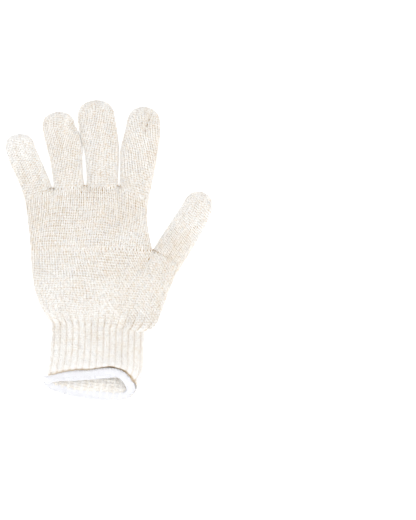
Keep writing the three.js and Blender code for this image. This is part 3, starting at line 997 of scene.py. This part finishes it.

# %% [markdown]
# The three finishes of yarn are built alike. Cotton is matt, with a soft sheen at grazing
# angles from the fibres that stand off it. Hand and cuff are knitted from the same cotton, and
# the thread at the edge is white with no flecks. The painted shade on the shells behind the
# loops is a simpler material: fine tufts of two close tones.

# %% Finishes
COTTON = (0.855, 0.834, 0.798)
WHITE_THREAD = (0.81, 0.81, 0.835)
BACKING_BROWN_SHADE = (0.50, 0.35, 0.17)
BACKING_TAN_SHADE = (0.90, 0.80, 0.65)
TUFT_SIZE = 0.0006
TUFT_CONTRAST = 0.12
TUFT_MASK = (0.35, 0.65)
YARN_BUMP = {"Strength": 0.8, "Distance": 0.00012}
TUFT_BUMP = {"Distance": 0.0001}
YARN_SURFACE = {
    "Roughness": 0.92,
    "Specular IOR Level": 0.15,
    "Sheen Weight": 0.28,
    "Sheen Tint": (0.80, 0.88, 1.0, 1.0),
    "Sheen Roughness": 0.6,
}
TUFT_SURFACE = {"Roughness": 1.0, "Specular IOR Level": 0.0}


def new_material(name, surface):
    """A material, its tree, and its main shader with the values of the surface."""
    material = bpy.data.materials.new(name)
    material.use_nodes = True
    tree = material.node_tree
    shader = next(n for n in tree.nodes if n.type == "BSDF_PRINCIPLED")
    for label, value in surface.items():
        shader.inputs[label].default_value = value
    return material, tree, shader


def cover(tree, shader, colour, height, bump):
    """Link a colour and a height to the main shader."""
    raised = add_node(tree, "ShaderNodeBump", {"Height": height, **bump})
    tree.links.new(colour, shader.inputs["Base Color"])
    tree.links.new(raised.outputs["Normal"], shader.inputs["Normal"])


def group_node(tree, group, **inputs):
    return add_node(tree, "ShaderNodeGroup", inputs, node_tree=group).outputs[0]


def yarn_finish(name, base, flecks, shade, pitch):
    """Twisted yarn. Flecks and painted shade go from 0 to 1, and pitch is the length of one twist."""
    material, tree, shader = new_material(name, YARN_SURFACE)
    colour = group_node(tree, FLECKS_AND_SHADE, Base=(*base, 1.0), Flecks=flecks, Shade=shade)
    cover(tree, shader, colour, group_node(tree, PLIES, Pitch=pitch), YARN_BUMP)
    return material


def backing_shade_finish(name, colour):
    """Painted shade for the shells behind the loops: fine tufts of two close tones, quite matt."""
    material, tree, shader = new_material(name, TUFT_SURFACE)
    tufts = noise(tree, 1 / TUFT_SIZE, object_place(tree), FINE_DETAIL, FUZZ_ROUGH)
    dark, light = (tuple(c * (1 + k * TUFT_CONTRAST) for c in colour) for k in (-1, 1))
    tone = mixed(tree, window(tree, tufts, *TUFT_MASK), dark, light)
    cover(tree, shader, tone, tufts, TUFT_BUMP)
    return material


# Painted shade for the shells behind the loops: brown on the hand, a paler tan on the cuff.
brown_painted_shade = backing_shade_finish("painted brown shade behind loops", BACKING_BROWN_SHADE)
tan_painted_shade = backing_shade_finish("painted tan shade behind ribs", BACKING_TAN_SHADE)
hand_yarn = yarn_finish("cream cotton yarn", COTTON, 1.0, 1.0, 2.6)
cuff_yarn = yarn_finish("cream rib yarn", COTTON, 1.0, 1.0, 2.6)
edge_thread = yarn_finish("white overlock thread", WHITE_THREAD, 0.0, 0.0, 1.1)
print("finishes:", hand_yarn.name, "|", cuff_yarn.name, "|", edge_thread.name)

# %% [markdown]
# ## Knitting the glove
#
# Each finger is knitted from its root to its tip, and the strands are closed rings. The palm
# has two stages and then fades into the cuff, where the ribs deepen over a few courses. At the
# row where the thumb joins, two sunken courses fill the gaps between the columns of the two
# stages. The last courses of the cuff turn in towards the sewn edge.

# %% Fingers
WRIST_PALE = 0.38


def hand_in(piece, slot, *nodes):
    """Tell the frame what the piece rides on and which solids it stands for. The slot is not used."""
    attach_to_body(piece, "root")
    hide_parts(*nodes)


for node, tube in fingers.items():
    start = 0.0 if node == "thumb" else 0.5
    strands = knit(tube, 0, tube.courses, start=start, pale=(0.0, FINGERS[node][-1]))
    piece = yarn_piece(node + "_knit", strands, hand_yarn, sides=5, inside=False)
    hand_in(piece, "hand_knit", node)

# %% Palm
half_way = lower_palm.courses // 2

# Each piece, its tube, its first and last course, the moves of those two, and its paleness below
palm_parts = (
    ("palm_upper_knit", upper_palm, 0, upper_palm.courses + 1, (0.1, -1.0), 0.0),
    ("palm_lower_knit", lower_palm, half_way, lower_palm.courses, (0.5, -0.5), WRIST_PALE),
    ("palm_heel_knit", lower_palm, 0, half_way, (0.5, -0.5), WRIST_PALE),
)
RIB_DEPTH = 0.47
RIB_FADE = 10
RIB_FADE_POWER = 1.5
SEAM_SINK = 0.2
SEAM_SHADE = 0.4
SEAM_FILLING = (-0.35, 0.4)


def heel_groove(tube, course):
    """Ribs that begin in the lowest courses of the palm and deepen towards the wrist."""
    if tube is not lower_palm:
        return 0.0
    return RIB_DEPTH * max(0.0, 1 - course / RIB_FADE) ** RIB_FADE_POWER


def sunken(places, normals, course):
    """Moves a course deeper, where it only fills the gaps between two tubes, and paints shade on it.
    """
    return places - normals * SEAM_SINK, SEAM_SHADE


for name, tube, first, last, (start, end), pale in palm_parts:
    strands = knit(tube, first, last, heel_groove, start=start, end=end, pale=(pale, 0))
    if tube is upper_palm:
        for course in SEAM_FILLING:
            strands.append(course_strand(tube, course, tube.wales, shape=sunken, calm=True))
    piece = yarn_piece(name, strands, hand_yarn, inside=False)
    hand_in(piece, "hand_knit", "palm")

# %% [markdown]
# Through the holes between the loops of a soft cotton yarn one would see the shaded inside of
# the glove. A thin shell behind the loops is painted with that shade instead, in brown. The
# lower layer of the cuff is seen from inside, through the mouth, so there the shell lies on
# the outer side of the loops, and its painted shade is a paler tan.

# %% Painted shade behind the loops
BED_FROM = -0.25
BED_THICK = 0.25
CUFF_BED_FROM = 0.28


def shade_backing(name, tube, groove_at=None, start=0.0, shape=None, turned=False):
    """A closed thin shell of painted shade that follows a tube, one face for each stitch."""
    shares = np.arange(tube.wales) / tube.wales
    skins = []
    for deeper in (0, BED_THICK):
        rings = []
        for course in np.arange(start, tube.courses + 0.01):
            place, normal = tube.sample(shares, np.full(tube.wales, course))
            groove = groove_at(tube, course) if groove_at else 0.0
            sunk = groove * rib_grooves(shares)
            far_side = np.clip(0.5 - 2 * normal[:, 2], 0, 1) if turned else 0.0
            lift = BED_FROM + (CUFF_BED_FROM - BED_FROM) * far_side - deeper
            place = place + normal * (lift - sunk)[:, None]
            rings.append(shape(place, normal, course)[0] if shape else place)
        skins.append(np.array(rings))
    rows, columns = skins[0].shape[:2]
    points = np.concatenate([skin.reshape(-1, 3) for skin in skins]) * MM
    faces = []
    for i in range(rows - 1):
        for j in range(columns):
            k = (j + 1) % columns
            quad = (i * columns + j, (i + 1) * columns + j, (i + 1) * columns + k, i * columns + k)
            faces.append(quad)
            faces.append(tuple(rows * columns + n for n in reversed(quad)))
    for j in range(columns):
        k = (j + 1) % columns
        for i, order in ((0, 1), (rows - 1, -1)):
            rim = (i * columns + j, i * columns + k)
            rim += (rows * columns + i * columns + k, rows * columns + i * columns + j)
            faces.append(rim[::order])
    mesh = bpy.data.meshes.new(name)
    mesh.from_pydata(points.tolist(), [], faces)
    mesh.materials.append(tan_painted_shade if turned else brown_painted_shade)
    return add_object(name, mesh)


# Shells of painted brown shade behind the loops of the fingers and the palm.
for node, tube in fingers.items():
    hand_in(shade_backing(node + "_fibres", tube), "hand_knit", node)
for name, tube in (("upper", upper_palm), ("lower", lower_palm)):
    hand_in(shade_backing(f"palm_{name}_fibres", tube, heel_groove), "hand_knit", "palm")
print("fibre shells lie", -BED_FROM, "mm behind the middle of the yarn")

# %% [markdown]
# The last courses of the cuff's upper layer are its lip. They turn down by LIP_DROP behind the
# white edge, into real shade, and LIP_SHADE paints more brown shade on their yarn: together
# they make the brown line above the edge. From LIP_START on the painted shade grows over
# LIP_START_FADE from the share LIP_LEAST to the full line, and the lip draws back as it grows.
# It ends at LIP_END. The lower layer rises by SILL_RISE over the last SILL_LENGTH before the
# edge.

# %% Cuff
CUFF_PALE = (1.0, 0.5)
BED_START = -0.7
ELASTIC_EVERY = 2.6
ELASTIC_PULL = 0.12
LIP_LENGTH = 2.8
LIP_MOST = 1.3
LIP_BEND = 1.6
LIP_BACK = 0.3
LIP_DROP = 1.2
LIP_SHADE = 0.9
LIP_START = -45.0
LIP_START_FADE = 48.0
LIP_LEAST = 0.42
LIP_END = 24.0
LIP_END_FADE = 5.0
SILL_LENGTH = 9.0
SILL_RISE = 1.2


def cuff_groove(tube, course):
    """Deep ribs, drawn in a little more wherever the elastic runs."""
    return RIB_DEPTH * (1 + ELASTIC_PULL * math.cos(2 * math.pi * course / ELASTIC_EVERY))


def turned_lip(places, normals, course):
    """The lip turns down into shade, with painted shade on it; the lower layer rises to the edge."""
    upper = np.clip(normals[:, 2] * 2, 0, 1)
    lower = np.clip(-normals[:, 2] * 2, 0, 1)
    near = np.clip(1 - course * COURSE / LIP_LENGTH, 0, LIP_MOST) * upper
    begun = np.interp(places[:, 0], (LIP_START, LIP_START + LIP_START_FADE), (LIP_LEAST, 1))
    shaded = begun * np.clip((LIP_END - places[:, 0]) / LIP_END_FADE, 0, 1)
    turned = places.copy()
    turned[:, 1] += near * LIP_LENGTH * LIP_BACK * (2 * begun - 1)
    turned[:, 2] -= near**LIP_BEND * LIP_DROP
    turned[:, 2] += np.clip(1 - course * COURSE / SILL_LENGTH, 0, 1) * lower * SILL_RISE
    # The second value paints brown shade on the lip: weaker to the left, and none past LIP_END.
    return turned, near * LIP_SHADE * shaded


moves = {"start": 0.1, "end": -1.0}
strands = knit(cuff, 0, cuff.courses + 1, cuff_groove, turned_lip, pale=CUFF_PALE, **moves)
hand_in(yarn_piece("cuff_knit", strands, cuff_yarn), "cuff_knit", "ribbed_cuff")
# A shell of pale painted shade behind the cuff's loops.
cuff_bed = shade_backing("cuff_fibres", cuff, cuff_groove, BED_START, turned_lip, turned=True)
hand_in(cuff_bed, "cuff_knit", "ribbed_cuff")

# %% [markdown]
# ## The overlocked edge
#
# An overlock machine binds the mouth with white thread: a thread wraps over the edge, and
# chains of loops run along it, two on top and one below. The same yarn tree makes them. The wrap
# is a tight coil, and each chain is a pair of zigzags on top of it. A row of the table is a
# corner of the edge's middle line, then the edge's width and its thickness there. What it has
# more than its base width, it has on the side of the opening.

# %% Path of the edge
HEM = [
    (-32.0, -102.8, 8.0, 8.8, 3.1),
    (-17.0, -102.4, 9.2, 8.2, 3.1),
    (-2.0, -100.7, 10.0, 8.6, 3.1),
    (7.4, -101.7, 10.0, 7.0, 3.1),
    (13.7, -105.6, 8.8, 7.0, 3.1),
    (18.0, -111.6, 6.2, 7.5, 3.0),
    (18.5, -117.2, 3.2, 7.5, 2.8),
    (13.6, -121.1, 1.7, 6.8, 2.5),
    (6.0, -122.2, 1.45, 7.2, 2.4),
    (-9.0, -121.6, 1.45, 8.0, 2.4),
    (-24.0, -120.0, 1.45, 7.2, 2.4),
    (-37.5, -116.9, 1.45, 7.6, 2.4),
    (-47.2, -113.4, 1.7, 6.8, 2.6),
    (-51.4, -109.4, 3.8, 6.4, 2.9),
    (-47.6, -105.8, 6.0, 7.0, 3.1),
    (-41.4, -104.5, 7.2, 7.4, 3.1),
]
HEM_STEP = 0.25
HEM_BASE_WIDTH = 6.0
CORNER_POINTS = 60
THREAD_RADIUS = 0.42
WRAP_PITCH = 0.88


def smooth_loop(corners, step):
    """A closed curve through the corners (centripetal Catmull-Rom) with even steps."""
    corners = np.array(corners, float)
    count = len(corners)
    found = []
    for k in range(count):
        p = [corners[(k + n) % count] for n in (-1, 0, 1, 2)]
        t = [0.0]
        for a, b in zip(p, p[1:]):
            t.append(t[-1] + math.sqrt(np.linalg.norm((b - a)[:3])))
        s = np.linspace(t[1], t[2], CORNER_POINTS, endpoint=False)[:, None]
        a = [((t[n + 1] - s) * p[n] + (s - t[n]) * p[n + 1]) / (t[n + 1] - t[n]) for n in range(3)]
        b = [((t[n + 2] - s) * a[n] + (s - t[n]) * a[n + 1]) / (t[n + 2] - t[n]) for n in range(2)]
        found.append(((t[2] - s) * b[0] + (s - t[1]) * b[1]) / (t[2] - t[1]))
    line = np.concatenate(found)
    closed = np.concatenate([line, line[:1]])
    length = running_length(closed[:, :3])[-1]
    return even(closed, int(length / step)), length


hem_line, hem_length = smooth_loop(HEM, HEM_STEP)
hem_line, hem_size = hem_line[:, :3], hem_line[:, 3:]
print("the edge measures", round(hem_length), "mm round")

# %% Frame that travels along the edge
hem_ahead = unit(np.roll(hem_line, -1, axis=0) - np.roll(hem_line, 1, axis=0))
hem_out = unit(np.cross(hem_ahead, (0.0, 0.0, 1.0)))
hem_up = np.cross(hem_out, hem_ahead)


def on_hem(place, angle, far=1.0):
    """Points round the edge: a place along it in mm, an angle round it and how far out."""
    at = (place / hem_length * len(hem_line)) % len(hem_line)
    low = np.floor(at).astype(int) % len(hem_line)
    high = (low + 1) % len(hem_line)
    t = (at - np.floor(at))[:, None]
    parts = (a[low] * (1 - t) + a[high] * t for a in (hem_line, hem_out, hem_up, hem_size))
    centre, out, up, size = parts
    centre = centre + out * (size[:, :1] - HEM_BASE_WIDTH) / 2
    side = np.cos(angle) * (size[:, 0] / 2 - THREAD_RADIUS)
    lift = np.sin(angle) * (size[:, 1] / 2 - THREAD_RADIUS)
    away = out * side[:, None] + up * lift[:, None]
    return strand(centre + away * np.reshape(far, (-1, 1)), unit(away))


lowest, highest = hem_line[:, 2].min(), hem_line[:, 2].max()
print("edge rises from", round(float(lowest), 1), "to", round(float(highest), 1), "mm")

# %% Threads of the edge
WRAP_POINTS = 14
WRAP_JITTER = 0.02
CHAIN_PITCH = 2.2
CHAIN_POINTS = 8
CHAIN_WAVE = 0.28
CHAIN_SLANT = 0.35
CHAIN_OUT = 1.22
CHAIN_SWELL = 0.06
CHAIN_THIN = 0.8
CHAIN_ANGLES = (1.05, 2.35, -1.2)
THREAD_DEPTH = 1.0


def thread_piece(name, strands, radius, closed=True):
    """White thread that belongs to the sewn edge."""
    piece = yarn_piece(name, strands, edge_thread, radius, THREAD_DEPTH, sides=5, closed=closed)
    hand_in(piece, "overlock_thread", "overlock_hem")


turns = int(hem_length / WRAP_PITCH)
wrap_turn = np.arange(turns * WRAP_POINTS) / WRAP_POINTS
wrap_place = wrap_turn / turns * hem_length
wrap_far = 1 + chance.normal(0, WRAP_JITTER, len(wrap_turn))
wrap = on_hem(wrap_place, wrap_turn * 2 * np.pi, wrap_far)
links = int(hem_length / CHAIN_PITCH)
chains = []
for angle in CHAIN_ANGLES:
    for phase in (0, 1):
        turn = (np.arange(links * CHAIN_POINTS) / CHAIN_POINTS + phase / 2) * 2 * np.pi
        place = turn / (2 * np.pi) / links * hem_length + CHAIN_SLANT * np.sin(2 * turn)
        far = CHAIN_OUT + CHAIN_SWELL * np.sin(turn)
        chains.append(on_hem(place, angle + CHAIN_WAVE * np.cos(turn), far))
thread_piece("overlock_wrap", [wrap], THREAD_RADIUS)
thread_piece("overlock_chains", chains, THREAD_RADIUS * CHAIN_THIN)

# %% [markdown]
# The thread ends in a short tail where the machine stopped: some of the same thread, twisted
# together, that points away to the left.

# %% Tail of the thread
TAIL = [(-49.5, -108.0, 4.4), (-51.8, -107.4, 4.2), (-53.8, -107.0, 3.8), (-55.6, -106.8, 3.2)]
TAIL_TURNS = 4
TAIL_POINTS = 14
TAIL_STRANDS = 9
TAIL_RADIUS = (1.2, 2.2, 2.3, 1.2)
TAIL_THREAD = 0.62
tail_share = np.linspace(0, 1, TAIL_TURNS * TAIL_POINTS)
tail_key = np.linspace(0, 1, len(TAIL))
tail_middle = follow(np.array(TAIL), tail_key, tail_share)
tail_wide = np.interp(tail_share, tail_key, TAIL_RADIUS)[:, None]
ahead = np.array(TAIL[-1]) - np.array(TAIL[0])
ahead /= np.linalg.norm(ahead)
one = np.cross(ahead, (0, 0, 1))
two = np.cross(one, ahead)
tail_strands = []
for number in range(TAIL_STRANDS):
    turn = 2 * np.pi * (tail_share[:, None] * TAIL_TURNS + number / TAIL_STRANDS)
    outward = np.cos(turn) * one + np.sin(turn) * two
    tail_strands.append(strand(tail_middle + outward * tail_wide, outward))
thread_piece("overlock_tail", tail_strands, TAIL_THREAD, closed=False)

# %% [markdown]
# ## Table and light
#
# The glove lies on a plain white light table, under two big soft lamps and in a white room. The
# table's own glow takes the shadows away, and the loops still have a light and a dark side.

# %% Table
TABLE_SIZE = 6.0
TABLE_SURFACE = {
    "Base Color": (0.9, 0.9, 0.9, 1),
    "Roughness": 0.9,
    "Specular IOR Level": 0.1,
    "Emission Color": (1, 1, 1, 1),
    "Emission Strength": 0.6,
}
table_mesh = bpy.data.meshes.new("table")
far = TABLE_SIZE / 2
table_corners = [(-far, -far, 0), (far, -far, 0), (far, far, 0), (-far, far, 0)]
table_mesh.from_pydata(table_corners, [], [(0, 1, 2, 3)])
table_mesh.materials.append(new_material("white table", TABLE_SURFACE)[0])
table = add_object("table", table_mesh)
print("table:", TABLE_SIZE, "m square")

# %% Light
LAMPS = (
    ("key", (-0.5, -1.3, 1.8), 1.2, 29.0),
    ("fill", (1.2, 0.8, 1.6), 1.6, 18.0),
)
WHITE = (1, 1, 1, 1)
WORLD_LIGHT = 0.85
for name, place, size, power in LAMPS:
    lamp_data = bpy.data.lights.new(name, "AREA")
    lamp_data.size = size
    lamp_data.energy = power
    lamp = add_object(name, lamp_data)
    lamp.location = place
    lamp.rotation_euler = mathutils.Vector(place).to_track_quat("Z", "Y").to_euler()
world = bpy.data.worlds.new("soft room")
world.use_nodes = True
background = world.node_tree.nodes["Background"]
background.inputs["Color"].default_value = WHITE
background.inputs["Strength"].default_value = WORLD_LIGHT
scene.world = world
scene.view_settings.view_transform = "Standard"
scene.view_settings.look = "None"
print("lamps:", [name for name, *_ in LAMPS])
